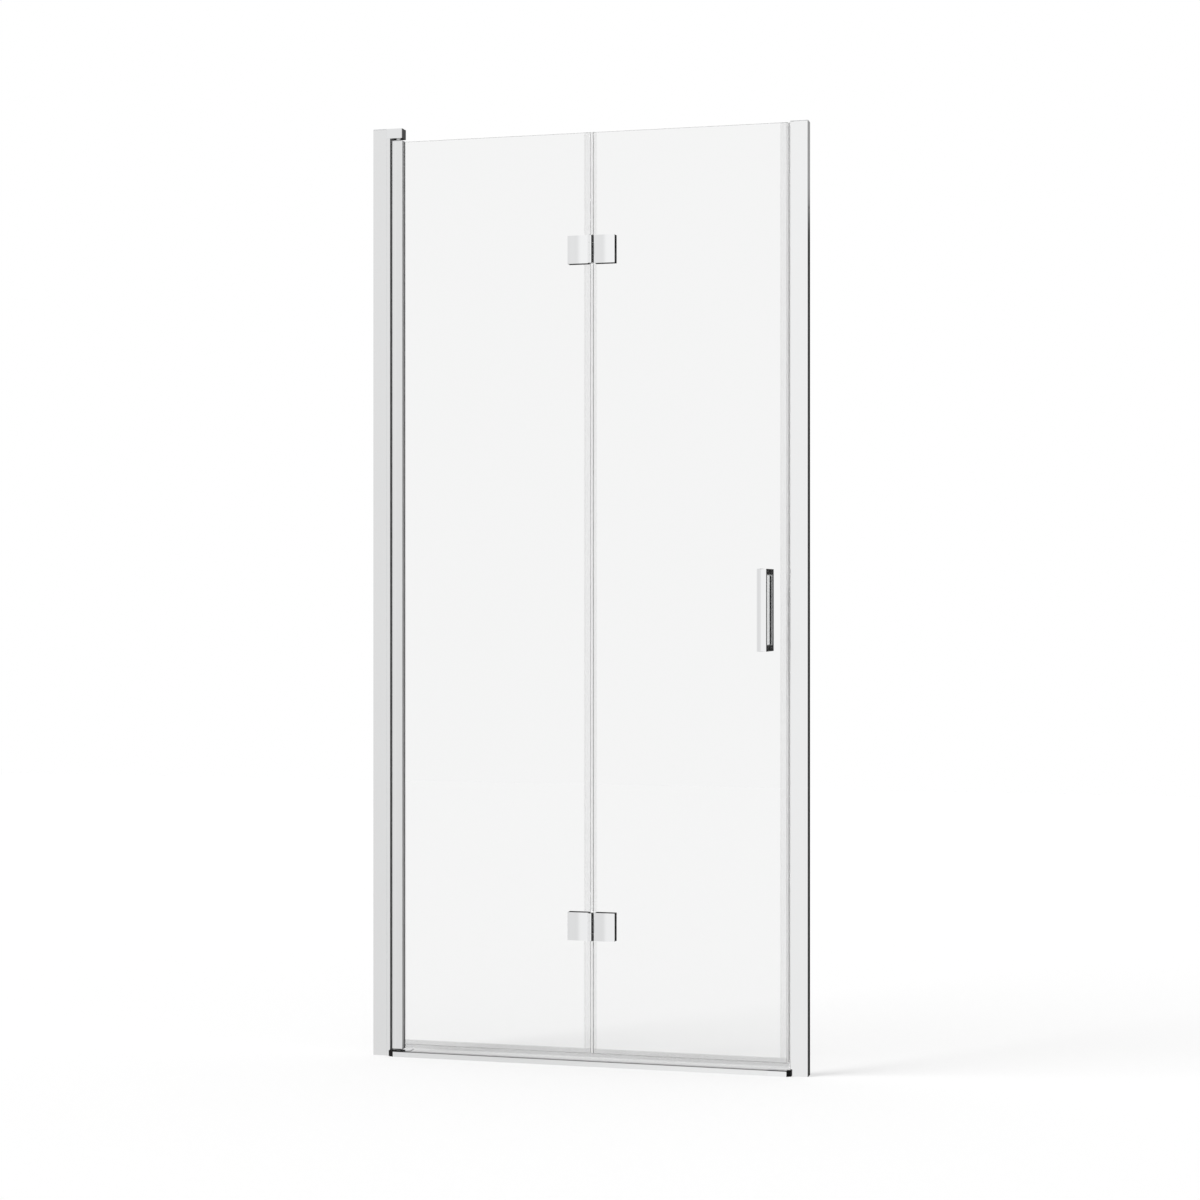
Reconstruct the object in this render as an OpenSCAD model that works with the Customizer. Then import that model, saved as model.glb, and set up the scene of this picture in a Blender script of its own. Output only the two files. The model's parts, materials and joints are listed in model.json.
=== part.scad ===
// Bifold shower door for a niche: a pivoting pane, a folding pane with a handle,
// wall profiles on both sides and a low threshold rail.
// X runs to the right seen from the room, Y into the shower, Z up.
// The origin is on the floor, midway between the walls, in the glass's mid-plane.

/* [Door] */
// Width between the two walls
door_w = 880; // [780:5:1000]
// Height of the pivot side
door_h = 1850; // [1700:10:2000]
// How much lower the closing side ends
closing_drop = 25; // [20:1:30]
// Place of the fold line, right of the middle
fold_x = 10.5; // [0:0.5:20]

/* [Glass] */
// Thickness of both panes
glass_t = 6; // [5:0.5:6]
// Gap between the two panes
pane_gap = 6; // [5.5:0.5:7]
// Height of the panes' lower edge over the floor
glass_z0 = 22.8; // [22:0.2:26]
// Width of the ground edge round each pane
arris = 0.4; // [0.2:0.1:0.8]

/* [Wall profiles] */
// Front width of a wall channel
channel_w = 28; // [26:1:34]
// Depth of a wall channel, front to back
channel_d = 24; // [24:1:27]
// Thickness of the channel's flanges
channel_t = 1.5; // [1.2:0.1:1.6]
// How far the left adjuster stands out of its channel
out_left = 7.6; // [7:0.1:12]
// How far the right adjuster stands out of its channel
out_right = 6.3; // [6:0.1:12]
// Wall screw holes in each channel
wall_holes = 4; // [2:1:5]
// Distance between wall screw holes
wall_hole_step = 500; // [300:10:500]
// Height of the lowest wall screw hole
wall_hole_z = 160; // [120:5:170]

/* [Pivot side] */
// Front width of the pivot profile
pivot_w = 23.6; // [22.5:0.1:24]
// Depth of the pivot profile, front to back
pivot_d = 17; // [16:0.5:17.5]
// Pivot axis, from the profile's wall side
pivot_set = 12.05; // [11.6:0.05:12.4]
// Gap between the left adjuster and the pivot profile
pivot_gap = 1.8; // [1.8:0.1:4]
// Height of the top bracket's arm
bracket_h = 19.2; // [16:0.2:24]
// Gap between the bracket and the pivot profile, bridged by the bush
bracket_gap = 4.4; // [3:0.2:6]

/* [Glass hinges] */
// Height of a hinge
hinge_h = 55; // [45:1:70]
// Width of one hinge plate
plate_w = 41.1; // [36:0.1:50]
// Thickness of a front hinge plate
plate_t = 5.5; // [5:0.1:6]
// Radius of the hinge barrel
barrel_r = 6.1; // [5.6:0.1:6.2]
// Upper hinge, below the top of the door
hinge_drop = 255; // [200:5:300]
// Lower hinge, above the floor
hinge_rise = 271; // [200:1:300]

/* [Handle] */
// Length of the handle
handle_h = 158; // [120:1:220]
// Width of the handle
handle_w = 18.3; // [16:0.1:24]
// Reach of each handle half, from the glass's mid-plane
handle_reach = 39.5; // [36:0.5:46]
// Depth of the grip bar, front to back
grip_t = 12; // [8:0.5:14]
// Height of the two posts of each half
post_h = 11; // [10:0.5:16]
// Handle's centre, left of the right pane's edge
handle_inset = 42; // [36:1:60]
// Height of the handle's centre over the floor
handle_z = 890; // [800:5:1050]

/* [Threshold] */
// Depth of the rail, front to back
rail_d = 42; // [36:1:50]
// Height of the rail
rail_h = 10.8; // [10:0.2:11]
// Length of each end block
block_l = 42; // [36:1:50]

/* [Hidden] */
$fn = 64;
half_w = door_w / 2;
half_g = glass_t / 2;
free = 0.05;                     // clearance between pieces of one body
slack = 0.1;                     // looser clearance of parts that are pushed together
soft_t = 1;                      // thickness of seal walls and glass gaskets
pad = half_g + soft_t;           // where metal begins, from the glass's mid-plane

// Wall profiles
channel_web = 1.8;
channel_r = 0.8;                               // round edge on the wall side
wall_hole_r = 3;
rib_t = 1.2;                                   // guide ribs in the channel
adj_y = channel_d / 2 - channel_t - slack;     // half depth of an adjuster
adj_wall = 1.4;
adj_end = 0.8;                                 // wall between an adjuster's two chambers
adj_in = 20;                                   // adjuster's length inside its channel
face_l = -half_w + channel_w + out_left;       // left adjuster's face
face_r = half_w - channel_w - out_right;       // right adjuster's face
top_l = door_h;
top_r = door_h - closing_drop;
cap_t = 1.5;
nose_t = 3;                                    // thick front wall of an adjuster
clamp_screw_z = [140, door_h / 2, door_h - 150];
clamp_screw_in = 14;                           // screw line, behind the channel's mouth
clamp_shank_r = 1.85;
clamp_head_r = 3.6;
clamp_head_t = 1.6;
socket_r = 1.3;
pivot_groove = [2.5, 1.6];                     // seal groove: half width, depth
magnet_groove = [4, 2];

// Pivot side
pivot_x0 = face_l + pivot_gap;
pivot_x1 = pivot_x0 + pivot_w;
pivot_x = pivot_x0 + pivot_set;
pivot_r = 3.5;                                 // rounding of the profile's wall side
pivot_edge_r = 0.8;                            // rounding of its pane side
bracket_z = door_h - bracket_h;
pivot_top = bracket_z - bracket_gap;
pivot_bot = 13.2;
slot_x = pivot_x - 4;                          // bottom of the glass slot
slot_y = pad + 0.2;                            // half width of the slot
slit_t = 1.2;                                  // hollow in each cheek of the slot
slit_w = 12;
plug_head = 0.8;
plug_l = 40;
plug_x1 = pivot_x + 4.85;                      // the plugs end here, in front of the pane
lip_w = 1.6;                                   // gasket lip over the pane
bush_l = 20;
pin_r = 2;
pin_run = 0.03;                                // radial running clearance
pin_hold = 0.02;                               // clearance of a pin that is held
stub_r = 3;
stub_l = 15;
bush_r = 3.2;
collar_r = 4;
tongue_l = 30;                                 // bracket's tongue in the adjuster
grub_z = bracket_z - tongue_l / 2;
grub_r = 1.45;

// Panes
glass_z1 = pivot_top - 2.1;                    // the panes end just under the pivot profile's top
left_x0 = slot_x + 1;
left_x1 = fold_x - pane_gap / 2;
right_x0 = fold_x + pane_gap / 2;
right_x1 = face_r - 8.7;                       // room for the closing seal
glass_hole_r = 5;

// Hinges
hinge_up = door_h - hinge_drop;
hinge_low = hinge_rise;
axis_y = -pad - plate_t;                       // fold axis, in the front plates' face
clamp_t = 5;
plate_gap = barrel_r + 0.4;                    // fold axis to plate edge
plate_r = 0.3;                                 // round edges of the plates
crown_plate = 300;                             // radius of the plates' crowned face
hinge_pin_r = 3;
hinge_run = 0.05;                              // radial clearance in the middle knuckle
knuckle_h = 0.277 * hinge_h;                   // height of each outer knuckle
knuckle_edge = 0.5;                            // chamfer at the barrel's two ends
washer_t = 0.25;
washer_in = 0.2;                               // washers stop short of the barrel's surface
screw_r = 2.45;
sink = 2.4;                                    // depth of the screws' countersinks
screw_dz = 14;                                 // screws above and below the hinge's centre
plate_mid = plate_gap + plate_w / 2;

// Handle
handle_x = right_x1 - handle_inset;
handle_edge_r = 0.8;
crown_handle = 34;                             // radius of the grip's crowned front
stud_r = 2.5;
stud_in = 14;                                  // stud's length inside each post
stud_dz = handle_h / 2 - post_h / 2;

// Seals
seal_top = 31.6;                               // upper edge of the bottom seals
seal_low = 14.6;
wiper_low = 12.7;
drip = 3.6;                                    // reach of the drip lip into the shower
skirt_gap = 1;                                 // between the two bottom seals
leg_long = 12;
leg_short = 6;
seal_cut = hinge_h / 2 + 2;                    // seals stop this far from a hinge's centre
fin_t = 0.8;
closing_l = 5.2;                               // the closing seal's reach past the pane
strip_l = 2.3;                                 // the fixed strip's reach past the adjuster

// Threshold
rail_back_h = 6.2;
rail_wall = 1.5;
rail_flat = 12;                                // the rail's top falls behind this line
rail_edge = 0.9;                               // chamfer of the rail's front edge
block_rim = 0.6;                               // how far the end blocks stand proud
block_edge = 1.5;                              // chamfer of their front edge
block_top = rail_h + block_rim;
over_left = 1;                                 // reach of the ends past the adjuster's face
over_right = 2.5;
corner_left = 10.2;                            // length of the black corner pieces
corner_right = 8.1;
corner_d = 5;                                  // depth of their slope
block_floor = 1.5;                             // metal under the pivot pin
tongue_in = 12;                                // block's tongue in the rail

// ---- helpers: outlines and extrusions ----

// Rectangle between two corners
module area(x0, x1, y0, y1) {
    translate([x0, y0]) square([x1 - x0, y1 - y0]);
}

// Rectangle with round corners
module round_area(x0, x1, y0, y1, r) {
    area(x0 + r, x1 - r, y0, y1);
    area(x0, x1, y0 + r, y1 - r);
    for (x = [x0 + r, x1 - r], y = [y0 + r, y1 - r]) translate([x, y]) circle(r);
}

// An outline drawn in (X, Y), extruded upwards
module along_z(z0, z1) {
    translate([0, 0, z0]) linear_extrude(z1 - z0) children();
}

// An outline drawn in (Y, Z), extruded to the right
module along_x(x0, x1) {
    translate([x0, 0, 0]) rotate([90, 0, 90]) linear_extrude(x1 - x0) children();
}

// An outline drawn in (X, Z), extruded into the shower
module along_y(y0, y1) {
    translate([0, y1, 0]) rotate([90, 0, 0]) linear_extrude(y1 - y0) children();
}

// A shape revolved about a line along Y: outline in (radius, Y)
module turned_y(x, z) {
    translate([x, 0, z]) rotate([-90, 0, 0]) rotate_extrude() children();
}

// A round hole or rod along Y
module rod_y(x, z, r, y0, y1) {
    translate([x, y0, z]) rotate([-90, 0, 0]) cylinder(r = r, h = y1 - y0);
}

// Hexagon socket, 1.2 mm deep under the face at y
module socket_y(x, z, r, y) {
    translate([x, y - 1.2, z]) rotate([-90, 0, 0]) cylinder(r = r, h = 3, $fn = 6);
}

// Mirrors the right-hand shape to the left-hand one about a vertical line
module handed(side, x = 0) {
    translate([x, 0, 0]) mirror([side < 0 ? 1 : 0, 0, 0]) children();
}

// ---- wall profiles, written for the right wall with X measured from the mouth ----

// Open U section that is screwed to the wall
module channel_outline() {
    inner = channel_d / 2 - channel_t;
    rib_x = adj_in + rib_t / 2;
    difference() {
        union() {
            round_area(channel_w / 2, channel_w, -channel_d / 2, channel_d / 2, channel_r);
            area(0, channel_w - channel_r, -channel_d / 2, channel_d / 2);
        }
        // cavity with two guide ribs that keep the adjuster off the wall screws
        area(-1, rib_x, -inner, inner);
        area(-1, channel_w - channel_web, -adj_y + rib_t, adj_y - rib_t);
        area(rib_x + rib_t, channel_w - channel_web, -inner, inner);
    }
}

module wall_channel(side, height) {
    handed(side, side * (half_w - channel_w)) difference() {
        along_z(0, height - cap_t) channel_outline();
        for (i = [0 : wall_holes - 1]) {
            translate([channel_w - channel_web - 1, 0, wall_hole_z + i * wall_hole_step])
                rotate([0, 90, 0]) cylinder(r = wall_hole_r, h = channel_web + 2);
        }
        for (z = clamp_screw_z) {
            rod_y(clamp_screw_in, z, clamp_shank_r + 0.25, adj_y - 1, channel_d / 2 + 1);
        }
    }
}

// Hollow telescoping section, clamped in the channel
module adjuster_outline(out, groove) {
    difference() {
        union() {
            round_area(-out, 0, -adj_y, adj_y, 1);
            area(-out + 1.5, adj_in, -adj_y, adj_y);
        }
        area(adj_wall - adj_end, adj_in - adj_wall, -adj_y + adj_wall, adj_y - adj_wall);
        area(-out + nose_t, -adj_end, -adj_y + adj_wall, adj_y - adj_wall);
        area(-out - 1, -out + groove[1], -groove[0], groove[0]);
    }
}

module adjuster(side, out, height, groove) {
    handed(side, side * (half_w - channel_w)) difference() {
        along_z(0, height) adjuster_outline(out, groove);
        for (z = clamp_screw_z) rod_y(clamp_screw_in, z, clamp_shank_r + free, 0, adj_y + 1);
        if (side < 0) rod_y(grub_x(), grub_z, grub_r + 0.15, 0, adj_y + 1);
    }
}

// Pan-head screws that clamp the adjuster in its channel, from the shower side
module clamp_screws(side) {
    handed(side, side * (half_w - channel_w)) for (z = clamp_screw_z) difference() {
        turned_y(clamp_screw_in, z) polygon([
            [0, adj_y - 6], [clamp_shank_r, adj_y - 6], [clamp_shank_r, channel_d / 2],
            [clamp_head_r, channel_d / 2], [clamp_head_r, channel_d / 2 + clamp_head_t / 2],
            [clamp_head_r - 0.7, channel_d / 2 + clamp_head_t], [0, channel_d / 2 + clamp_head_t]
        ]);
        socket_y(clamp_screw_in, z, socket_r, channel_d / 2 + clamp_head_t);
    }
}

// Cap over the channel's open top, with a tongue down behind the adjuster
module top_cap(side, height, reach) {
    handed(side, side * (half_w - channel_w)) {
        along_z(height - cap_t, height) {
            round_area(channel_w / 2, channel_w, -channel_d / 2, channel_d / 2, channel_r);
            area(-reach, channel_w - channel_r, -channel_d / 2, channel_d / 2);
        }
        along_z(height - 12, height - cap_t)
            area(adj_in + 2 * rib_t, channel_w - channel_web - 0.2, -adj_y + slack, adj_y - slack);
    }
}

// ---- top bracket and pivots ----

// Middle of the adjuster's front chamber, from the channel's mouth
function grub_x() = (nose_t - out_left - adj_end) / 2;

module top_pivot_bracket() {
    mouth = -half_w + channel_w;
    color("gainsboro") difference() {
        union() {
            along_z(bracket_z, door_h) {
                area(mouth + free, pivot_x, -channel_d / 2, channel_d / 2);
                round_area(pivot_x0, pivot_x1, -channel_d / 2, channel_d / 2, 1);
            }
            // tail that lies in the channel on top of the adjuster
            along_z(bracket_z, door_h - cap_t - 0.2)
                area(mouth - adj_in, mouth + 1, -adj_y + free, adj_y - free);
            // tongue in the adjuster's front chamber
            along_z(bracket_z - tongue_l, bracket_z) area(
                mouth + adj_end + slack, face_l - nose_t - slack,
                -adj_y + adj_wall + slack, adj_y - adj_wall - slack
            );
        }
        translate([pivot_x, 0, bracket_z - 1]) cylinder(r = stub_r, h = stub_l + 1.5);
        rod_y(mouth - grub_x(), grub_z, grub_r + free, 2, adj_y);
    }
}

module bracket_grub_screw() {
    x = -half_w + channel_w - grub_x();
    color("silver") difference() {
        rod_y(x, grub_z, grub_r, 3.5, adj_y - 0.2);
        socket_y(x, grub_z, 0.9, adj_y - 0.2);
    }
}

// Stepped steel pin: a stub in the fixed piece and a journal in the bush
module pivot_pin(stub, journal_l) {
    color("silver") rotate_extrude() {
        area(0, stub_r - pin_hold, 0, stub);
        area(0, pin_r, -journal_l, 0.01);
    }
}

module pivot_pin_top() {
    translate([pivot_x, 0, bracket_z + 0.2]) pivot_pin(stub_l, bracket_gap + bush_l - 1);
}

module pivot_pin_bottom() {
    translate([pivot_x, 0, block_top - 0.2]) mirror([0, 0, 1])
        pivot_pin(block_top - block_floor - 0.5, pivot_bot - block_top + bush_l - 1);
}

// White bush: a collar that bridges the gap and a sleeve in the plug
module pivot_bush(collar_h) {
    color("white") rotate_extrude() {
        area(pin_r + pin_run, collar_r, 0, collar_h);
        area(pin_r + pin_run, bush_r - pin_hold, -bush_l, 0.01);
    }
}

module pivot_bush_top() {
    translate([pivot_x, 0, pivot_top]) pivot_bush(bracket_gap - 0.4);
}

module pivot_bush_bottom() {
    translate([pivot_x, 0, pivot_bot]) mirror([0, 0, 1]) pivot_bush(pivot_bot - block_top - 0.4);
}

// Strip in the left adjuster that closes the gap at the pivot side
module pivot_side_seal() {
    half = pivot_groove[0] - slack;
    color("dimgray") along_z(block_top + 0.5, bracket_z - 0.5) {
        area(face_l - pivot_groove[1] + slack, face_l - 0.4, -half, half);
        round_area(face_l - 1.2, face_l + 0.2, -half + 0.6, half - 0.6, 0.5);
    }
}

// ---- threshold ----

// Rail section in (Y, Z): upright front, flat top and a fall towards the shower
module rail_outline(d, h, back_h, edge) {
    polygon([
        [-d / 2, 0], [-d / 2, h - edge], [-d / 2 + edge, h],
        [d / 2 - rail_flat, h], [d / 2, back_h], [d / 2, 0]
    ]);
}

module rail_bore() {
    wall = 2 * rail_wall;
    translate([0, rail_wall])
        rail_outline(rail_d - wall, rail_h - wall, rail_back_h - wall, rail_edge);
}

module threshold_rail() {
    color("gainsboro") along_x(face_l + block_l, face_r - block_l) difference() {
        rail_outline(rail_d, rail_h, rail_back_h, rail_edge);
        rail_bore();
    }
}

// The threshold's ends are written for the right-hand one, X measured from the adjuster's face
function end_x(side) = side < 0 ? face_l : face_r;
function end_over(side) = side < 0 ? over_left : over_right;
function corner_x(side) = side < 0 ? over_left - corner_left : over_right - corner_right;

// Whole end with its two corners cut off in plan
module end_form(side) {
    d = rail_d / 2 + block_rim;
    over = end_over(side);
    x = corner_x(side);
    intersection() {
        along_x(-block_l, over)
            rail_outline(2 * d, block_top, rail_back_h + block_rim, block_edge);
        along_z(0, block_top) polygon([
            [-block_l, -d], [x, -d], [over, -d + corner_d],
            [over, d - corner_d], [x, d], [-block_l, d]
        ]);
    }
}

// Room for the corner pieces, in front of and behind the adjuster
module corner_room(side, gap) {
    for (s = [0, 1]) mirror([0, s, 0]) along_z(-1, block_top + 1)
        area(corner_x(side) - gap, end_over(side) + 1, -rail_d, -adj_y - slack + gap);
}

// Metal end block
module threshold_end(side) {
    handed(side, end_x(side)) {
        difference() {
            end_form(side);
            corner_room(side, free);
            // seat on the adjuster's end
            along_z(-1, block_top + 1)
                area(0, end_over(side) + 1, -adj_y - slack, adj_y + slack);
        }
        // tongue in the hollow rail
        intersection() {
            along_x(-block_l - tongue_in, -block_l) rail_bore();
            along_z(rail_wall + 0.2, rail_h - rail_wall - 0.2) area(
                -block_l - tongue_in, -block_l, -rail_d / 2 + rail_wall + 0.2, rail_d / 2 - rail_flat
            );
        }
    }
}

module threshold_end_left() {
    color("gainsboro") difference() {
        threshold_end(-1);
        translate([pivot_x, 0, block_floor]) cylinder(r = stub_r, h = block_top);
    }
}

module threshold_end_right() {
    color("gainsboro") threshold_end(1);
}

// Black rubber pieces that close both corners of an end
module corner_seal(side) {
    color("dimgray") handed(side, end_x(side)) intersection() {
        end_form(side);
        corner_room(side, 0);
    }
}

module fixed_magnet_strip() {
    half = magnet_groove[0] - slack;
    color("lightgray") along_z(block_top + 0.5, top_r - cap_t - 0.5) {
        area(face_r - 0.4, face_r + magnet_groove[1] - slack, -half, half);
        round_area(face_r - strip_l, face_r + 0.6, -half + 0.5, half - 0.5, 0.6);
    }
}

// ---- pivoting pane ----

// Profile with a slot for the pane and round edges towards the wall
module pivot_outline() {
    round_area(pivot_x0, pivot_x, -pivot_d / 2, pivot_d / 2, pivot_r);
    round_area(pivot_x - pivot_r, pivot_x1, -pivot_d / 2, pivot_d / 2, pivot_edge_r);
}

module pivot_profile() {
    color("gainsboro") along_z(pivot_bot + plug_head, pivot_top - plug_head) difference() {
        pivot_outline();
        area(slot_x, pivot_x1 + 1, -slot_y, slot_y);
        // chambers behind the slot and in its two cheeks
        area(pivot_x0 + 1.5, slot_x - adj_wall, -pad, pad);
        for (s = [-1, 1]) {
            translate([(slot_x + pivot_x1) / 2, s * (pivot_d / 2 + slot_y) / 2])
                square([slit_w, slit_t], center = true);
        }
    }
}

// End plug with a head over the profile's end and a bore for the bush
module pivot_plug() {
    color("darkgray") difference() {
        union() {
            along_z(-plug_head, 0) pivot_outline();
            along_z(-plug_l, -plug_head)
                area(slot_x + slack, plug_x1, -slot_y + slack, slot_y - slack);
        }
        translate([pivot_x, 0, -bush_l - 1]) cylinder(r = bush_r, h = bush_l + 2);
    }
}

module pivot_plug_top() {
    translate([0, 0, pivot_top]) pivot_plug();
}

module pivot_plug_bottom() {
    translate([0, 0, pivot_bot]) mirror([0, 0, 1]) pivot_plug();
}

// Two strips that wedge the pane in the slot, with a lip that shows on the pane
module glazing_gaskets() {
    color("dimgray") for (s = [0, 1]) mirror([0, s, 0]) {
        along_z(pivot_bot + plug_head + slack, pivot_top - plug_head - slack)
            area(plug_x1 + 0.45, pivot_x1 + lip_w, half_g + free, slot_y - free);
    }
}

// Pane with ground edges
module pane(x0, x1) {
    intersection() {
        along_z(glass_z0, glass_z1) polygon([
            [x0 + arris, -half_g], [x1 - arris, -half_g], [x1, -half_g + arris],
            [x1, half_g - arris], [x1 - arris, half_g], [x0 + arris, half_g],
            [x0, half_g - arris], [x0, -half_g + arris]
        ]);
        along_x(x0, x1) polygon([
            [-half_g + arris, glass_z0], [half_g - arris, glass_z0],
            [half_g, glass_z0 + arris], [half_g, glass_z1 - arris],
            [half_g - arris, glass_z1], [-half_g + arris, glass_z1],
            [-half_g, glass_z1 - arris], [-half_g, glass_z0 + arris]
        ]);
    }
}

// Holes for the two hinges, on one side of the fold
module hinge_holes(side) {
    for (z = [hinge_up, hinge_low], dz = [-screw_dz, screw_dz]) {
        rod_y(fold_x + side * plate_mid, z + dz, glass_hole_r, -glass_t, glass_t);
    }
}

module glass_left() {
    notch = plug_x1 + 0.3;
    color([0.80, 0.86, 0.85, 0.35]) difference() {
        pane(left_x0, left_x1);
        hinge_holes(-1);
        // corner notches that clear the pivot plugs
        along_z(pivot_top - plug_l - 1, door_h) area(left_x0 - 1, notch, -glass_t, glass_t);
        along_z(0, pivot_bot + plug_l + 1) area(left_x0 - 1, notch, -glass_t, glass_t);
    }
}

// Legs of the bottom seal in (Y, Z), on both faces of the pane
module bottom_seal_legs() {
    for (s = [0, 1]) mirror([s, 0]) {
        area(half_g + free, pad + free, glass_z0 - free - soft_t, seal_top);
    }
}

// Lower part of the bottom seal in (Y, Z): web, front skirt, wiper and drip lip
module bottom_seal_skirt() {
    outer = pad + free;
    web_top = glass_z0 - free;
    web = web_top - soft_t;
    area(-outer, outer, web, web_top);
    area(-outer, -outer + soft_t, seal_low, web + 0.5);
    area(-soft_t / 2, soft_t / 2, wiper_low, web + 0.5);
    polygon([
        [outer - 1.2, web_top - 0.4], [outer, web_top - 0.4],
        [outer + drip, seal_low], [outer + drip - soft_t, seal_low]
    ]);
}

// The legs stop at the pane's corners, the skirt runs on below the upright seals
module bottom_seal(legs_x0, legs_x1, x0, x1) {
    color([0.85, 0.87, 0.88, 0.6]) {
        along_x(legs_x0, legs_x1) bottom_seal_legs();
        along_x(x0, x1) bottom_seal_skirt();
    }
}

module bottom_seal_left() {
    x0 = pivot_x1 + lip_w + slack;
    bottom_seal(x0, left_x1 - slack, x0, fold_x - skirt_gap / 2);
}

module bottom_seal_right() {
    bottom_seal(right_x0 + slack, right_x1 - slack, fold_x + skirt_gap / 2, right_x1 + closing_l);
}

// Legs of a seal that is pushed over a pane's upright edge at x = 0, pane to the left
module clip_legs(leg) {
    inner = half_g + free;
    for (s = [0, 1]) mirror([0, s]) area(-leg, free + soft_t, inner, inner + soft_t);
}

// Web of that seal, over the pane's edge
module clip_web() {
    outer = half_g + free + soft_t;
    area(free, free + soft_t, -outer, outer);
}

// Upright seal: the legs stop at the bottom seal, the web runs down the whole edge
module upright_seal(leg) {
    along_z(seal_top + 0.2, glass_z1) clip_legs(leg);
    along_z(glass_z0, glass_z1) {
        clip_web();
        children();
    }
}

module hinge_gaps() {
    for (z = [hinge_up, hinge_low]) {
        translate([0, 0, z]) cube([4 * plate_w, 60, 2 * seal_cut], center = true);
    }
}

module centre_seal_left() {
    color([0.85, 0.87, 0.88, 0.6]) difference() {
        // two fins reach over to the other pane's seal
        translate([left_x1, 0, 0]) upright_seal(leg_long) for (s = [0, 1]) mirror([0, s]) {
            area(free, pane_gap - soft_t - 0.5, pad + free - fin_t, pad + free);
        }
        hinge_gaps();
    }
}

module centre_seal_right() {
    color([0.85, 0.87, 0.88, 0.6]) difference() {
        handed(-1, right_x0) upright_seal(leg_short);
        hinge_gaps();
    }
}

// ---- glass hinges ----

// Outline of a plate on the right of the fold, seen from above
module plate_outline(y0, y1) {
    round_area(fold_x + plate_gap, fold_x + plate_gap + plate_w, y0, y1, plate_r);
}

// One knuckle, chamfered at its upper end
module knuckle(z0, z1, edge) {
    translate([fold_x, axis_y, 0]) rotate_extrude() polygon([
        [0, z0], [barrel_r, z0], [barrel_r, z1 - edge], [barrel_r - edge, z1], [0, z1]
    ]);
}

// Neck from a plate on the right of the fold to its knuckle
module neck(z0, z1) {
    along_z(z0, z1) area(fold_x + 1, fold_x + plate_gap + 1, axis_y + 1.5, -pad);
}

function knuckle_top() = hinge_h / 2 - knuckle_h;

// Front plate: outer knuckles on the pivoting pane, the middle one on the other
module hinge_leaf(side, z) {
    middle = knuckle_top() - washer_t - free;
    color("gainsboro") translate([0, 0, z]) difference() {
        union() {
            handed_at_fold(side) along_z(-hinge_h / 2, hinge_h / 2) intersection() {
                plate_outline(axis_y, -pad);
                translate([fold_x + plate_mid, axis_y + crown_plate]) circle(crown_plate, $fn = 720);
            }
            if (side < 0) {
                for (s = [0, 1]) mirror([0, 0, s]) {
                    knuckle(knuckle_top(), hinge_h / 2, knuckle_edge);
                    handed_at_fold(-1) neck(knuckle_top(), hinge_h / 2);
                }
            } else {
                translate([fold_x, axis_y, -middle]) cylinder(r = barrel_r, h = 2 * middle);
                neck(-middle, middle);
            }
        }
        translate([fold_x, axis_y, -hinge_h])
            cylinder(r = hinge_pin_r + (side < 0 ? pin_hold : hinge_run), h = 2 * hinge_h);
        for (dz = [-screw_dz, screw_dz]) {
            rod_y(fold_x + side * plate_mid, dz, screw_r + free, axis_y + 1.3, -pad + 1);
        }
    }
}

// Mirrors about the fold line
module handed_at_fold(side) {
    translate([fold_x, 0, 0]) mirror([side < 0 ? 1 : 0, 0, 0]) translate([-fold_x, 0, 0]) children();
}

// Back plate with two countersunk holes
module hinge_clamp(side, z) {
    back = pad + clamp_t;
    color("gainsboro") translate([0, 0, z]) difference() {
        handed_at_fold(side) along_z(-hinge_h / 2, hinge_h / 2) plate_outline(pad, back);
        for (dz = [-screw_dz, screw_dz]) {
            turned_y(fold_x + side * plate_mid, dz) {
                area(0, screw_r + slack, pad - 1, back);
                polygon([
                    [0, back - sink], [screw_r + slack, back - sink],
                    [screw_r + slack + sink, back], [screw_r + slack + sink, back + 1], [0, back + 1]
                ]);
            }
        }
    }
}

// Pads between the plates and the pane
module hinge_gaskets(side) {
    color("dimgray") for (z = [hinge_up, hinge_low], s = [0, 1]) mirror([0, s, 0]) {
        along_y(half_g + 0.02, pad - 0.02) difference() {
            x = fold_x + side * plate_mid;
            w = plate_w / 2 - slack;
            h = hinge_h / 2 - slack;
            area(x - w, x + w, z - h, z + h);
            for (dz = [-screw_dz, screw_dz]) translate([x, z + dz]) circle(screw_r + 2 * slack);
        }
    }
}

// Sleeves that keep the screws off the glass
module hinge_sleeves(side) {
    color("white") for (z = [hinge_up, hinge_low], dz = [-screw_dz, screw_dz]) {
        turned_y(fold_x + side * plate_mid, z + dz)
            area(screw_r + slack, glass_hole_r - free, -half_g + slack, half_g - slack);
    }
}

// Countersunk socket screws from the shower side
module hinge_screws(side) {
    back = pad + clamp_t;
    head_y = back - 0.15;
    head_r = screw_r + sink - 0.35;
    color("silver") for (z = [hinge_up, hinge_low], dz = [-screw_dz, screw_dz]) difference() {
        turned_y(fold_x + side * plate_mid, z + dz) polygon([
            [0, axis_y + 1.5], [screw_r - 0.5, axis_y + 1.5], [screw_r, axis_y + 2],
            [screw_r, back - sink], [head_r, back - 0.35], [head_r, head_y], [0, head_y]
        ]);
        socket_y(fold_x + side * plate_mid, z + dz, 1.7, head_y);
    }
}

module hinge_pin(z) {
    end = hinge_h / 2 - 0.15;
    color("silver") translate([fold_x, axis_y, z]) rotate_extrude() polygon([
        [0, -end], [hinge_pin_r - 0.4, -end], [hinge_pin_r, -end + 0.4],
        [hinge_pin_r, end - 0.4], [hinge_pin_r - 0.4, end], [0, end]
    ]);
}

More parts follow.
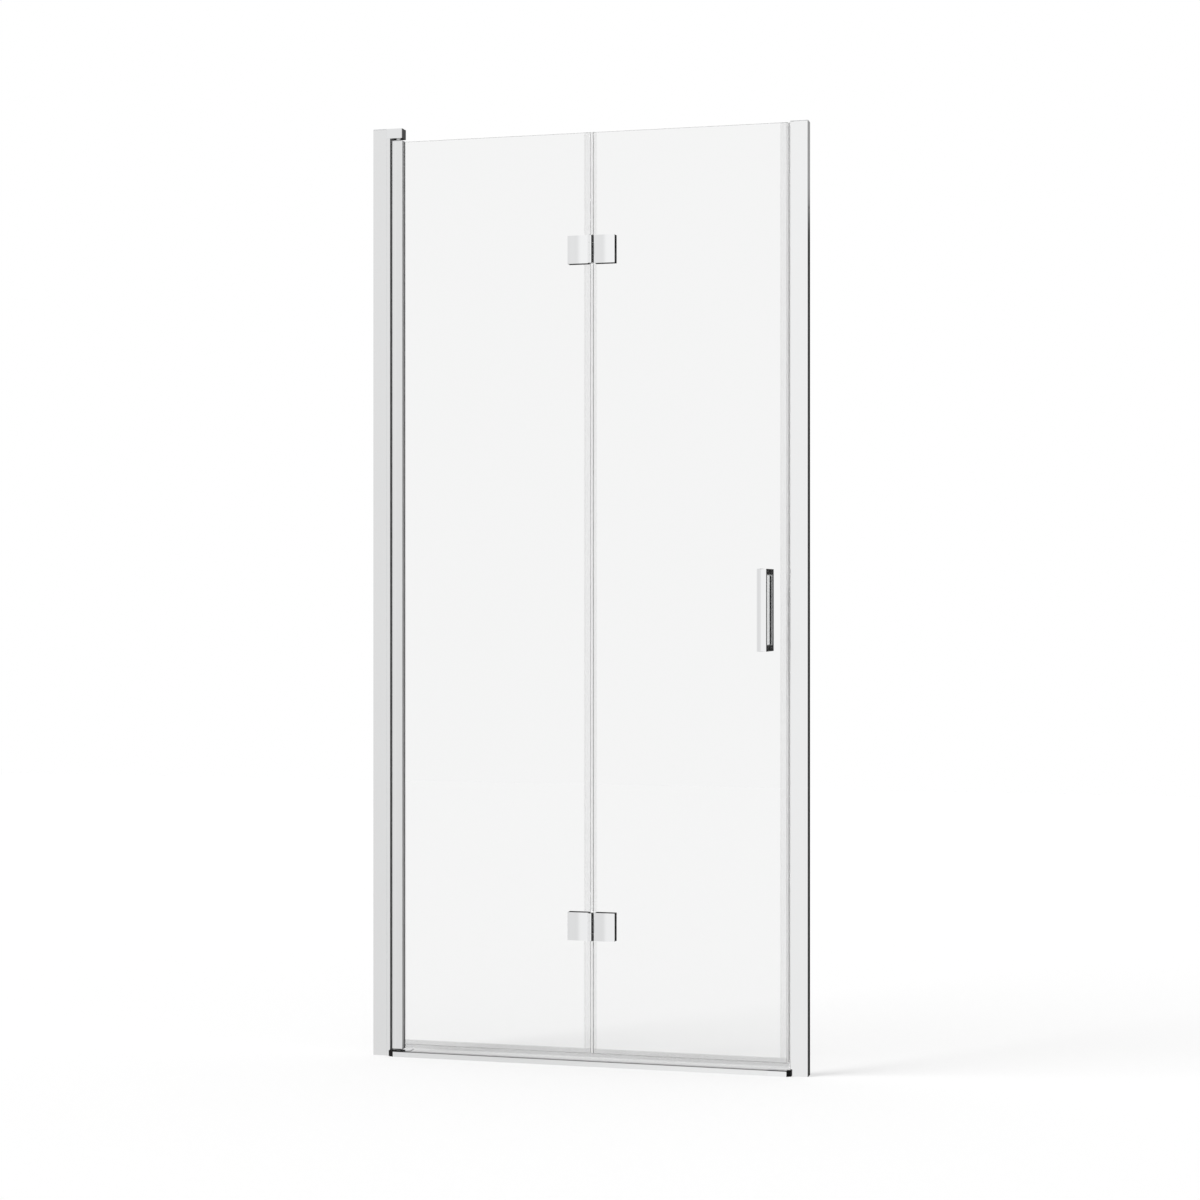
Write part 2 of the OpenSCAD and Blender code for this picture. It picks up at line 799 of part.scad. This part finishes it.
// Thrust washers on the inner faces of the outer knuckles
module hinge_washers() {
    color("white") for (z = [hinge_up, hinge_low], s = [0, 1]) {
        translate([fold_x, axis_y, z]) mirror([0, 0, s]) rotate_extrude() area(
            hinge_pin_r + hinge_run, barrel_r - washer_in, knuckle_top() - washer_t, knuckle_top()
        );
    }
}

// ---- folding pane ----

module glass_right() {
    color([0.80, 0.86, 0.85, 0.35]) difference() {
        pane(right_x0, right_x1);
        hinge_holes(1);
        for (dz = [-stud_dz, stud_dz]) {
            rod_y(handle_x, handle_z + dz, glass_hole_r, -glass_t, glass_t);
        }
    }
}

// Closing seal with a pocket for the magnet
module magnetic_seal() {
    color([0.85, 0.87, 0.88, 0.6]) translate([right_x1, 0, 0]) upright_seal(leg_long) difference() {
        round_area(free + 0.2, closing_l, -pad, pad, 0.5);
        area(1.8, closing_l - 0.7, -3.2, 3.2);
    }
}

module door_magnet() {
    color("white") along_z(glass_z0 + 2, glass_z1 - 2) area(
        right_x1 + 1.8 + free, right_x1 + closing_l - 0.7 - free, -3.2 + free, 3.2 - free
    );
}

// A grip bar on two posts that stand on the pane
module handle_half() {
    y0 = -handle_reach;
    half_h = handle_h / 2;
    half = handle_w / 2;
    difference() {
        intersection() {
            along_x(handle_x - half, handle_x + half) translate([0, handle_z]) difference() {
                round_area(y0, -pad, -half_h, half_h, handle_edge_r);
                round_area(y0 + grip_t, 0, -half_h + post_h, half_h - post_h, 1);
            }
            along_z(0, door_h) intersection() {
                round_area(handle_x - half, handle_x + half, y0, 0, handle_edge_r);
                translate([handle_x, y0 + crown_handle]) circle(crown_handle, $fn = 360);
            }
        }
        for (dz = [-stud_dz, stud_dz]) {
            rod_y(handle_x, handle_z + dz, stud_r + free, -pad - stud_in - 2, 0);
        }
    }
}

module handle_outer() {
    color("gainsboro") handle_half();
}

module handle_inner() {
    color("gainsboro") mirror([0, 1, 0]) handle_half();
}

// Pads between the posts and the pane
module handle_gaskets() {
    w = handle_w / 2 - slack;
    h = post_h / 2 - slack;
    color("dimgray") for (s = [0, 1], dz = [-stud_dz, stud_dz]) mirror([0, s, 0]) {
        translate([handle_x, 0, handle_z + dz]) along_y(half_g + 0.02, pad - 0.02) difference() {
            area(-w, w, -h, h);
            circle(stud_r + 2 * slack);
        }
    }
}

module handle_sleeves() {
    color("white") for (dz = [-stud_dz, stud_dz]) {
        turned_y(handle_x, handle_z + dz)
            area(stud_r + slack, glass_hole_r - free, -half_g + slack, half_g - slack);
    }
}

// Threaded studs that join the two handle halves through the pane
module handle_studs() {
    color("silver") for (dz = [-stud_dz, stud_dz]) {
        rod_y(handle_x, handle_z + dz, stud_r, -pad - stud_in, pad + stud_in);
    }
}

// ---- frame pieces ----
module wall_channel_left() { color("gainsboro") wall_channel(-1, top_l); }
module wall_channel_right() { color("gainsboro") wall_channel(1, top_r); }
module adjuster_left() { color("gainsboro") adjuster(-1, out_left, bracket_z, pivot_groove); }
module adjuster_right() { color("gainsboro") adjuster(1, out_right, top_r - cap_t, magnet_groove); }
module top_cap_left() { color("silver") top_cap(-1, top_l, 0); }
module top_cap_right() { color("silver") top_cap(1, top_r, out_right); }
module clamp_screws_left() { color("silver") clamp_screws(-1); }
module clamp_screws_right() { color("silver") clamp_screws(1); }
module hinge_leaf_upper_left() { hinge_leaf(-1, hinge_up); }
module hinge_leaf_lower_left() { hinge_leaf(-1, hinge_low); }
module hinge_leaf_upper_right() { hinge_leaf(1, hinge_up); }
module hinge_leaf_lower_right() { hinge_leaf(1, hinge_low); }
module hinge_clamp_upper_left() { hinge_clamp(-1, hinge_up); }
module hinge_clamp_lower_left() { hinge_clamp(-1, hinge_low); }
module hinge_clamp_upper_right() { hinge_clamp(1, hinge_up); }
module hinge_clamp_lower_right() { hinge_clamp(1, hinge_low); }
module hinge_pin_upper() { hinge_pin(hinge_up); }
module hinge_pin_lower() { hinge_pin(hinge_low); }

wall_channel_left();
wall_channel_right();
adjuster_left();
adjuster_right();
top_cap_left();
top_cap_right();
clamp_screws_left();
clamp_screws_right();
top_pivot_bracket();
bracket_grub_screw();
pivot_pin_top();
pivot_pin_bottom();
pivot_side_seal();
threshold_rail();
threshold_end_left();
threshold_end_right();
corner_seal(-1);  // corner_seal_left
corner_seal(1);  // corner_seal_right
fixed_magnet_strip();
pivot_profile();
pivot_plug_top();
pivot_plug_bottom();
pivot_bush_top();
pivot_bush_bottom();
glazing_gaskets();
glass_left();
bottom_seal_left();
centre_seal_left();
hinge_leaf_upper_left();
hinge_leaf_lower_left();
hinge_clamp_upper_left();
hinge_clamp_lower_left();
hinge_gaskets(-1);  // hinge_gaskets_left
hinge_sleeves(-1);  // hinge_sleeves_left
hinge_screws(-1);  // hinge_screws_left
hinge_pin_upper();
hinge_pin_lower();
hinge_washers();
glass_right();
bottom_seal_right();
centre_seal_right();
magnetic_seal();
door_magnet();
hinge_leaf_upper_right();
hinge_leaf_lower_right();
hinge_clamp_upper_right();
hinge_clamp_lower_right();
hinge_gaskets(1);  // hinge_gaskets_right
hinge_sleeves(1);  // hinge_sleeves_right
hinge_screws(1);  // hinge_screws_right
handle_outer();
handle_inner();
handle_gaskets();
handle_sleeves();
handle_studs();
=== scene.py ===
"""A bifold shower door in a plain white studio: finishes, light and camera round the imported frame."""

import json
import math

import bmesh
import bpy
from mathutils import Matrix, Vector


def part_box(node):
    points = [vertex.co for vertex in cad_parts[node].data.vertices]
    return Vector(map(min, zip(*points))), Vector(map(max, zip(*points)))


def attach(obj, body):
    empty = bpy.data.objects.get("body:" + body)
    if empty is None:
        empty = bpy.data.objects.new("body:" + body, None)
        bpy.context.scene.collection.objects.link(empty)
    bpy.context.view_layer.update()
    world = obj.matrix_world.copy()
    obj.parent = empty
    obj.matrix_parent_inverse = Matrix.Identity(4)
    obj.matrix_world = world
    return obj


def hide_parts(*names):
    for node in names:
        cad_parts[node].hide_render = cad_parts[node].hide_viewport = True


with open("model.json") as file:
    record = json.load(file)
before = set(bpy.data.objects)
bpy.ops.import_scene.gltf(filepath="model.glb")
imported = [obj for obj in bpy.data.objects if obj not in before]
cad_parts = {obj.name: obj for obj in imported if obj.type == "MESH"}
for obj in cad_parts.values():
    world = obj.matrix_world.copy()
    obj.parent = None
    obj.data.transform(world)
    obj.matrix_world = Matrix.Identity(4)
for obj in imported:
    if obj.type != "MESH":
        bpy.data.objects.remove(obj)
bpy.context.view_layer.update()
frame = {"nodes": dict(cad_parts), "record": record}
scene = bpy.context.scene

FACING = 0.9                 # a face looks along an axis where its normal's share along it is above this


# ---- node trees ----

def empty_tree(owner):
    """The node tree of a new material or world, with nothing in it."""
    owner.use_nodes = True
    owner.node_tree.nodes.clear()
    return owner.node_tree


def new_material(name, surface, **look):
    """A material whose surface is what surface(tree, **look) gives."""
    material = bpy.data.materials.new(name)
    tree = empty_tree(material)
    add(tree, "ShaderNodeOutputMaterial", Surface=surface(tree, **look))
    return material


def add(tree, kind, **settings):
    """A node of that kind. Settings are its properties, or what its inputs get, by name."""
    node = tree.nodes.new(kind)
    for key, value in settings.items():
        if hasattr(node, key):
            setattr(node, key, value)
        else:
            feed(tree, node.inputs[key.replace("_", " ")], value)
    return node


def feed(tree, slot, value):
    """Gives an input a plain value, or links another node's output to it."""
    if isinstance(value, bpy.types.NodeSocket):
        tree.links.new(value, slot)
    else:
        slot.default_value = value


def maths(tree, operation, *values, kind="ShaderNodeMath"):
    """The result of a Math node. Each value is a number or a node's output."""
    node = add(tree, kind, operation=operation)
    for slot, value in zip(node.inputs, values):
        feed(tree, slot, value)
    return node.outputs[0]


def mix(tree, kind, share, first, second):
    """A mix of two colours, of kind RGBA, or of two numbers, of kind FLOAT. The share is the second one's."""
    return add(tree, "ShaderNodeMix", data_type=kind, Factor=share, A=first, B=second).outputs["Result"]


def mix_shaders(tree, share, first, second):
    """A mix of two shaders. The share is the second one's."""
    node = add(tree, "ShaderNodeMixShader", Fac=share)
    tree.links.new(first, node.inputs[1])
    tree.links.new(second, node.inputs[2])
    return node.outputs["Shader"]


def object_place(tree, scale):
    """Object coordinates, scaled along each axis."""
    place = add(tree, "ShaderNodeTexCoord").outputs["Object"]
    return add(tree, "ShaderNodeMapping", Vector=place, Scale=scale).outputs["Vector"]


def noise(tree, vector, scale, detail):
    return add(tree, "ShaderNodeTexNoise", Vector=vector, Scale=scale, Detail=detail).outputs["Fac"]


def map_range(tree, value, source, target):
    """Brings a value from the range source to the range target, and keeps it inside."""
    node = add(tree, "ShaderNodeMapRange", Value=value, From_Min=source[0], From_Max=source[1],
               To_Min=target[0], To_Max=target[1])
    return node.outputs["Result"]


def ray_kinds(tree):
    """Two shares: 1 for rays straight from the camera or through glass, and 1 for rays that a mirror-like
    face sent. Both are 0 for the light that reaches a dull surface."""
    no_bounce = 0.5          # a count of bounces is below this where there is none
    path = add(tree, "ShaderNodeLightPath").outputs
    sharp = maths(tree, "LESS_THAN", path["Diffuse Depth"], no_bounce)
    reflected = maths(tree, "GREATER_THAN", path["Glossy Depth"], no_bounce)
    seen = maths(tree, "MAXIMUM", path["Is Camera Ray"], path["Is Transmission Ray"])
    straight = maths(tree, "MAXIMUM", path["Is Glossy Ray"], path["Is Transmission Ray"])
    mirrored = maths(tree, "MULTIPLY", straight, reflected)
    return maths(tree, "MULTIPLY", seen, sharp), maths(tree, "MULTIPLY", mirrored, sharp)


# ---- finishes ----

EVEN = (1, 1, 1)             # marks that aren't stretched along any axis
NOISE_RANGE = (0.3, 0.7)     # nearly all noise values lie in it
NOISE_DETAIL = 3.0


def grained(tree, light, dark, clouds, rough, scale, depth, relief, grain=EVEN, detail=NOISE_DETAIL,
            edge=None, **settings):
    """A shader with fine marks in its gloss and relief, over clouds of two close colours. grain makes the
    marks finer or longer along an axis, and edge is the roughness of a pane's ground edges."""
    marks = noise(tree, object_place(tree, grain), scale, detail)
    cloud = noise(tree, object_place(tree, EVEN), clouds, NOISE_DETAIL)
    roughness = map_range(tree, marks, NOISE_RANGE, rough)
    if edge is not None:
        roughness = mix(tree, "FLOAT", ground_edge(tree), roughness, edge)
    colour = mix(tree, "RGBA", cloud, (*light, 1), (*dark, 1))
    normal = add(tree, "ShaderNodeBump", Strength=relief, Distance=depth, Height=marks).outputs["Normal"]
    shader = add(tree, "ShaderNodeBsdfPrincipled", Base_Color=colour, Roughness=roughness, Normal=normal,
                 **settings)
    return shader.outputs["BSDF"]


def ground_edge(tree):
    """1 on faces that look along X or Z in the room, 0 on the two large faces of a closed pane. The large faces
    of a pane that is turned by more than about 25 degrees count as edges too, and look frosted."""
    facing = add(tree, "ShaderNodeNewGeometry").outputs["True Normal"]
    along = add(tree, "ShaderNodeSeparateXYZ", Vector=facing).outputs["Y"]
    return maths(tree, "LESS_THAN", maths(tree, "ABSOLUTE", along), FACING)


def metal(tree, **look):
    """Polished or brushed metal."""
    return grained(tree, clouds=9.0, relief=0.08, Metallic=1.0, **look)


def soft_solid(tree, gloss=0.5, **look):
    """Rubber or moulded plastic, with more detail in its grain."""
    return grained(tree, clouds=40.0, relief=0.3, detail=5.0, Specular_IOR_Level=gloss, **look)


def clear_solid(tree, ior, shade, alpha=1.0, **look):
    """Glass or clear plastic. Lamps shine through each of its faces with the share shade, so that its shadow
    is faint."""
    shader = grained(tree, clouds=2.5, relief=0.05, IOR=ior, Alpha=alpha, Transmission_Weight=1.0, **look)
    through = add(tree, "ShaderNodeBsdfTransparent", Color=(shade, shade, shade, 1)).outputs["BSDF"]
    shadow = add(tree, "ShaderNodeLightPath").outputs["Is Shadow Ray"]
    return mix_shaders(tree, shadow, shader, through)


LOOKS = {
    "profile_chrome": (metal, dict(
        light=(0.885, 0.888, 0.890), dark=(0.868, 0.871, 0.873), rough=(0.07, 0.12),
        grain=(60, 60, 1), scale=14.0, depth=0.00005)),
    "fitting_chrome": (metal, dict(
        light=(0.90, 0.905, 0.91), dark=(0.88, 0.885, 0.89), rough=(0.012, 0.022),
        scale=60.0, depth=0.00001)),
    "steel": (metal, dict(
        light=(0.70, 0.71, 0.72), dark=(0.62, 0.63, 0.64), rough=(0.22, 0.34),
        grain=(1, 1, 8), scale=300.0, depth=0.00005)),
    "clear_glass": (clear_solid, dict(
        light=(0.914, 0.915, 0.914), dark=(0.906, 0.908, 0.907), rough=(0.0, 0.004), edge=0.5,
        grain=(1, 1, 0.3), scale=3.0, depth=0.00002, ior=1.15, shade=0.94)),
    "clear_seal": (clear_solid, dict(
        light=(0.900, 0.900, 0.901), dark=(0.885, 0.885, 0.886), rough=(0.12, 0.22),
        grain=(30, 30, 1), scale=20.0, depth=0.0001, ior=1.10, shade=0.92, alpha=0.5)),
    "bottom_seal": (clear_solid, dict(
        light=(0.790, 0.790, 0.792), dark=(0.765, 0.765, 0.767), rough=(0.12, 0.22),
        grain=(1, 30, 30), scale=20.0, depth=0.0001, ior=1.10, shade=0.88, alpha=0.6)),
    "grey_gasket": (soft_solid, dict(
        light=(0.42, 0.42, 0.42), dark=(0.37, 0.37, 0.37), rough=(0.47, 0.63),
        scale=900.0, depth=0.00005)),
    "black_gasket": (soft_solid, dict(
        light=(0.006, 0.006, 0.006), dark=(0.004, 0.004, 0.004), rough=(0.47, 0.63), gloss=0.15,
        scale=900.0, depth=0.00005)),
    "black_plastic": (soft_solid, dict(
        light=(0.007, 0.007, 0.007), dark=(0.005, 0.005, 0.005), rough=(0.37, 0.53), gloss=0.2,
        scale=1200.0, depth=0.00003)),
    "grey_plastic": (soft_solid, dict(
        light=(0.62, 0.63, 0.64), dark=(0.56, 0.57, 0.58), rough=(0.32, 0.48),
        scale=1200.0, depth=0.00003)),
    "white_plastic": (soft_solid, dict(
        light=(0.90, 0.90, 0.89), dark=(0.85, 0.85, 0.84), rough=(0.24, 0.40),
        scale=1200.0, depth=0.00002)),
    "magnet": (soft_solid, dict(
        light=(0.80, 0.80, 0.80), dark=(0.76, 0.76, 0.76), rough=(0.42, 0.58),
        scale=1500.0, depth=0.00003)),
}
FINISHES = {name: new_material(name, kind, **look) for name, (kind, look) in LOOKS.items()}

# The skirts of the bottom seals are cloudier than the upright seals
OWN_FINISH = {"bottom_seal_left": "bottom_seal", "bottom_seal_right": "bottom_seal"}


def paint(piece, finish):
    """Gives the whole piece one finish."""
    piece.data.materials.clear()
    piece.data.materials.append(FINISHES[finish])


def dress_nodes():
    """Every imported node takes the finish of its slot, or one of its own."""
    for entry in frame["record"]["subparts"]:
        name = entry["node"]
        paint(frame["nodes"][name], OWN_FINISH.get(name, entry["material_slot"]))


# ---- handle ----

GRIP_DEPTH = 0.012           # front to back
POST_HEIGHT = 0.012          # with the round corner inside the loop
GRIP_ROUND = 0.0023          # radius of the grip's upright edges on the pane's side
ROUND_STEPS = 12             # faces in each of them
CROWN_RADIUS = 0.034         # of the grip's front
CUTTER_SPARE = 0.0005        # how far the cutter stands out of the grip
UPRIGHT = 0.01               # a face is upright where its normal's share along Z is below this
FLAT_SIDE = 0.9999           # a face is a flat side where its normal's share along X or Y is above this


def round_grip(node_name, inward):
    """A handle half whose grip is rounded on the pane's side, so that the hand meets no corner. inward is the
    way along Y from the grip to the pane."""
    node = frame["nodes"][node_name]
    piece = bpy.data.objects.new(node_name + "_rounded", node.data.copy())
    piece.matrix_world = node.matrix_world
    scene.collection.objects.link(piece)
    low, high = [Vector(corner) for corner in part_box(node_name)]
    front = low.y if inward > 0 else high.y
    back = front + inward * GRIP_DEPTH
    cutter = edge_cutter(low, high, back, inward)
    cut = piece.modifiers.new("edges", "BOOLEAN")
    cut.operation = "DIFFERENCE"
    cut.solver = "EXACT"
    cut.object = cutter
    apply_modifiers(piece)
    bpy.data.objects.remove(cutter)
    shade_grip(piece.data, low, high, front, back, inward)
    paint(piece, "fitting_chrome")
    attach(piece, "handle_panel")
    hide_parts(node_name)


def edge_cutter(low, high, back, inward):
    """What is cut from the grip: along both edges, a corner outside a quarter round."""
    outline = [(CUTTER_SPARE, CUTTER_SPARE), (-GRIP_ROUND, CUTTER_SPARE)]
    for step in range(ROUND_STEPS + 1):
        turn = math.radians(90 * step / ROUND_STEPS)
        outline.append((GRIP_ROUND * (math.sin(turn) - 1), GRIP_ROUND * (math.cos(turn) - 1)))
    outline.append((CUTTER_SPARE, -GRIP_ROUND))
    mesh = bmesh.new()
    for side, edge in ((-1, low.x), (1, high.x)):
        foot, head = [[mesh.verts.new((edge + side * u, back + inward * w, height)) for u, w in outline]
                      for height in (low.z + POST_HEIGHT, high.z - POST_HEIGHT)]
        mesh.faces.new(foot)
        mesh.faces.new(reversed(head))
        for index in range(len(outline)):
            following = (index + 1) % len(outline)
            mesh.faces.new((foot[following], foot[index], head[index], head[following]))
    bmesh.ops.recalc_face_normals(mesh, faces=mesh.faces)
    data = bpy.data.meshes.new("edge_cutter")
    mesh.to_mesh(data)
    mesh.free()
    cutter = bpy.data.objects.new("edge_cutter", data)
    scene.collection.objects.link(cutter)
    return cutter


def apply_modifiers(piece):
    shown = piece.evaluated_get(bpy.context.evaluated_depsgraph_get())
    result = bpy.data.meshes.new_from_object(shown)
    piece.modifiers.clear()
    piece.data = result


def shade_grip(data, low, high, front, back, inward):
    """True normals on the crowned front and the quarter rounds, flat shading elsewhere."""
    crown = Vector(((low.x + high.x) / 2, front + inward * CROWN_RADIUS))
    left = Vector((low.x + GRIP_ROUND, back - inward * GRIP_ROUND))
    right = Vector((high.x - GRIP_ROUND, back - inward * GRIP_ROUND))
    data.shade_smooth()
    normals = [None] * len(data.loops)
    for face in data.polygons:
        along = face.normal
        centre = None
        if abs(along.z) < UPRIGHT:
            if -inward * along.y > FACING:
                centre = crown
            elif max(abs(along.x), abs(along.y)) < FLAT_SIDE:
                centre = right if along.x > 0 else left
        for loop in face.loop_indices:
            place = data.vertices[data.loops[loop].vertex_index].co
            normals[loop] = along if centre is None else (place.xy - centre).to_3d().normalized()
    data.normals_split_custom_set(normals)


# ---- studio ----

# The photograph's camera stands to the right of the door, at handle height, and looks level
CAMERA_PLACE = (1.256, -4.589, 0.9095)
CAMERA_TURN = math.radians(15)
CAMERA_LEVEL = math.radians(90)
CAMERA_LENS = 72.9
CAMERA_SENSOR = 36

WHITE = (1, 1, 1, 1)
FLOOR_SIZE = 14.0
FLOOR_COLOUR = (0.98, 0.98, 0.98, 1)
FLOOR_GLOW = 0.4             # share of the floor's own white where the camera sees it
FLOOR_GLOW_STRENGTH = 1.03
WORLD_FILL = 0.62            # what the world gives to dull surfaces

KEY_STRENGTH = 1.80
KEY_WIDTH = math.radians(28)
KEY_FROM = (-0.62, -0.40, 0.68)

# Tones that mirror-like faces see round the studio, by compass direction in degrees: 0 is the side that the
# photograph is taken from, 90 is past the closing side, -90 past the pivot side, and 180 is the shower
STUDIO_TONES = [
    (-180, 0.02), (-153, 0.02), (-147, 0.80), (-110, 0.90), (-94, 0.97), (-60, 0.93), (-40, 0.85),
    (-32, 0.78), (-24, 0.80), (-20.5, 0.83), (-16, 0.815), (-13.4, 0.965), (22, 0.965), (32, 0.02),
    (84, 0.02), (104, 0.30), (130, 0.45), (146, 0.45), (156, 0.16), (160, 0.07), (164, 0.05), (172, 0.03),
    (180, 0.02),
]
# The same, from the height at which the threshold's flat top mirrors the shower's far wall
FAR_WALL = 0.75
STUDIO_TONES_HIGH = [(-180, FAR_WALL), (-147, FAR_WALL)] + STUDIO_TONES[3:-3] + [(164, 0.10), (180, FAR_WALL)]

# By the sine of the height angle: the share of the high tones, the share of the plain tones above and below,
# these plain tones of ground, wall and zenith, and what the result is multiplied by
STUDIO_STEP = [(-1, 0), (0.150, 0), (0.165, 1), (1, 1)]
STUDIO_EDGE = [(-1, 1), (-0.34, 1), (-0.22, 0), (0.22, 0), (0.34, 1), (1, 1)]
STUDIO_PLAIN = [(-1, 0.70), (0, 0.70), (0.4, 0.85), (0.7, 0.04), (1, 0.04)]
STUDIO_RISE = [(-1, 0.95), (-0.22, 0.95), (-0.1, 0.985), (0, 1.0), (0.2, 1.03), (1, 1.03)]


def make_camera():
    data = bpy.data.cameras.new("photo_camera")
    data.lens = CAMERA_LENS
    data.sensor_width = CAMERA_SENSOR
    camera = bpy.data.objects.new("photo_camera", data)
    camera.location = CAMERA_PLACE
    camera.rotation_euler = (CAMERA_LEVEL, 0, CAMERA_TURN)
    scene.collection.objects.link(camera)
    scene.camera = camera


def make_floor():
    bpy.ops.mesh.primitive_plane_add(size=FLOOR_SIZE)
    floor = bpy.context.object
    floor.name = "floor"
    floor.data.materials.append(new_material("floor_white", floor_surface))


def floor_surface(tree):
    """White where it is seen, with the object's soft shadow. Mirror-like faces see the world's tones."""
    seen, mirrored = ray_kinds(tree)
    lit = add(tree, "ShaderNodeBsdfDiffuse", Color=FLOOR_COLOUR).outputs["BSDF"]
    glow = add(tree, "ShaderNodeEmission", Color=WHITE, Strength=FLOOR_GLOW_STRENGTH).outputs["Emission"]
    through = add(tree, "ShaderNodeBsdfTransparent").outputs["BSDF"]
    surface = mix_shaders(tree, maths(tree, "MULTIPLY", seen, FLOOR_GLOW), lit, glow)
    return mix_shaders(tree, mirrored, surface, through)


def tone_ramp(tree, value, tones):
    """The grey for a value. tones are pairs of a value and its grey, from the lowest value to the highest."""
    low, high = tones[0][0], tones[-1][0]
    ramp = add(tree, "ShaderNodeValToRGB", Fac=map_range(tree, value, (low, high), (0, 1)))
    points = ramp.color_ramp.elements
    while len(points) < len(tones):
        points.new(0.5)      # its place follows below
    for point, (at, tone) in zip(points, tones):
        point.position = (at - low) / (high - low)
        point.color = (tone, tone, tone, 1)
    return ramp.outputs["Color"]


def studio_tones(tree):
    """The colour of the studio in the direction that a mirror-like face sees."""
    direction = add(tree, "ShaderNodeTexCoord").outputs["Generated"]
    way = add(tree, "ShaderNodeSeparateXYZ", Vector=direction).outputs
    compass = maths(tree, "DEGREES", maths(tree, "ARCTAN2", way["X"], maths(tree, "MULTIPLY", way["Y"], -1)))
    level, high = [tone_ramp(tree, compass, tones) for tones in (STUDIO_TONES, STUDIO_TONES_HIGH)]
    step, edge, plain, rise = [tone_ramp(tree, way["Z"], tones)
                               for tones in (STUDIO_STEP, STUDIO_EDGE, STUDIO_PLAIN, STUDIO_RISE)]
    tones = mix(tree, "RGBA", edge, mix(tree, "RGBA", step, level, high), plain)
    return maths(tree, "MULTIPLY", tones, rise, kind="ShaderNodeVectorMath")


def background(tree, colour, strength=1.0):
    return add(tree, "ShaderNodeBackground", Color=colour, Strength=strength).outputs["Background"]


def make_world():
    """White where it is seen directly or through glass, studio tones in mirrors, a soft fill elsewhere."""
    world = bpy.data.worlds.new("studio")
    scene.world = world
    tree = empty_tree(world)
    seen, mirrored = ray_kinds(tree)
    light = mix_shaders(tree, seen, background(tree, WHITE, WORLD_FILL), background(tree, WHITE))
    light = mix_shaders(tree, mirrored, light, background(tree, studio_tones(tree)))
    add(tree, "ShaderNodeOutputWorld", Surface=light)


def make_key_light():
    """A wide sun from the front left. Mirror-like faces see the studio's tones instead of it, and clear
    solids let it through by themselves."""
    data = bpy.data.lights.new("key", "SUN")
    data.energy = KEY_STRENGTH
    data.angle = KEY_WIDTH
    lamp = bpy.data.objects.new("key", data)
    lamp.rotation_euler = Vector(KEY_FROM).to_track_quat("Z", "Y").to_euler()
    lamp.visible_glossy = False
    lamp.visible_transmission = False
    scene.collection.objects.link(lamp)


scene.view_settings.view_transform = "Standard"
make_camera()
dress_nodes()
round_grip("handle_outer", inward=1)
round_grip("handle_inner", inward=-1)
make_floor()
make_world()
make_key_light()
